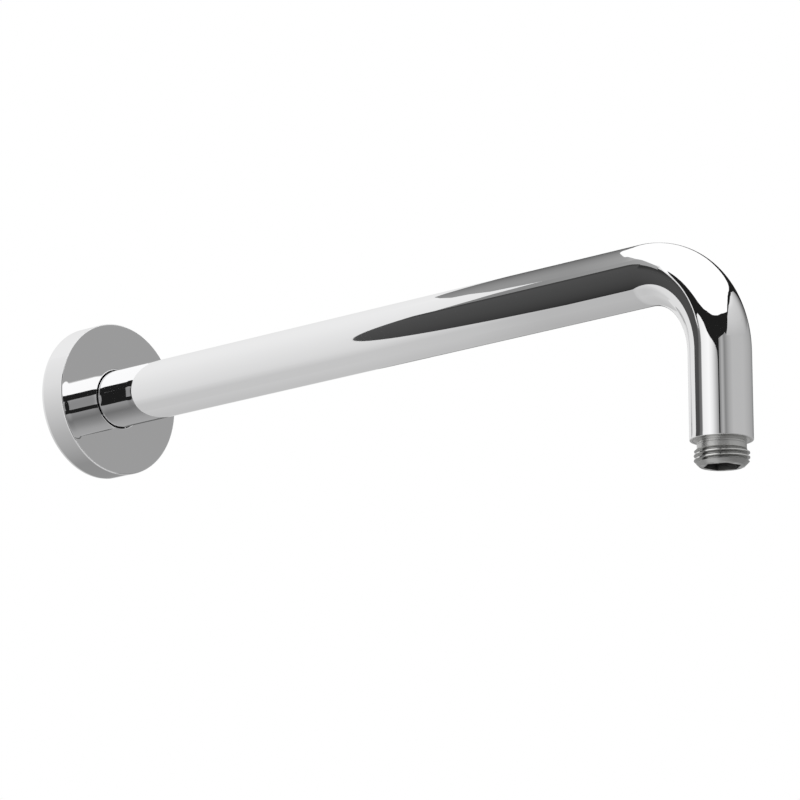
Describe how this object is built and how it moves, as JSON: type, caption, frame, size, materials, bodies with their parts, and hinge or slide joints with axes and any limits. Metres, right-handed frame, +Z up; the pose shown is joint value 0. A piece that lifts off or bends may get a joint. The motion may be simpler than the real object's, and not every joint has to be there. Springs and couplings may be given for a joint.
{
  "type": "shower arm",
  "caption": "Bent round shower arm with a slip-on flat wall flange, a threaded wall inlet and a short threaded outlet nipple with a hexagon socket.",
  "frame": {"origin": "on the tube's axis, in the wall plane, at the back of the flange", "axes": "+X out of the wall along the arm, +Z up, the outlet points to -Z"},
  "size_m": [0.372, 0.064, 0.1114],
  "materials": {
    "chrome_plate": "polished chrome plate over brass",
    "dull_plate": "thin dull plate over turned brass",
    "black_rubber": "plain rubber"
  },
  "bodies": {
    "arm": {"arm_tube": "chrome_plate", "inlet_connector": "dull_plate", "outlet_bush": "dull_plate", "nipple_seal": "black_rubber", "outlet_nipple": "dull_plate"},
    "flange": {"wall_flange": "chrome_plate", "flange_ring": "black_rubber"}
  },
  "joints": [
    {"name": "flange_slide", "type": "slide", "parent": "arm", "child": "flange", "axis": [1, 0, 0], "range_m": [0, 0.29]}
  ]
}
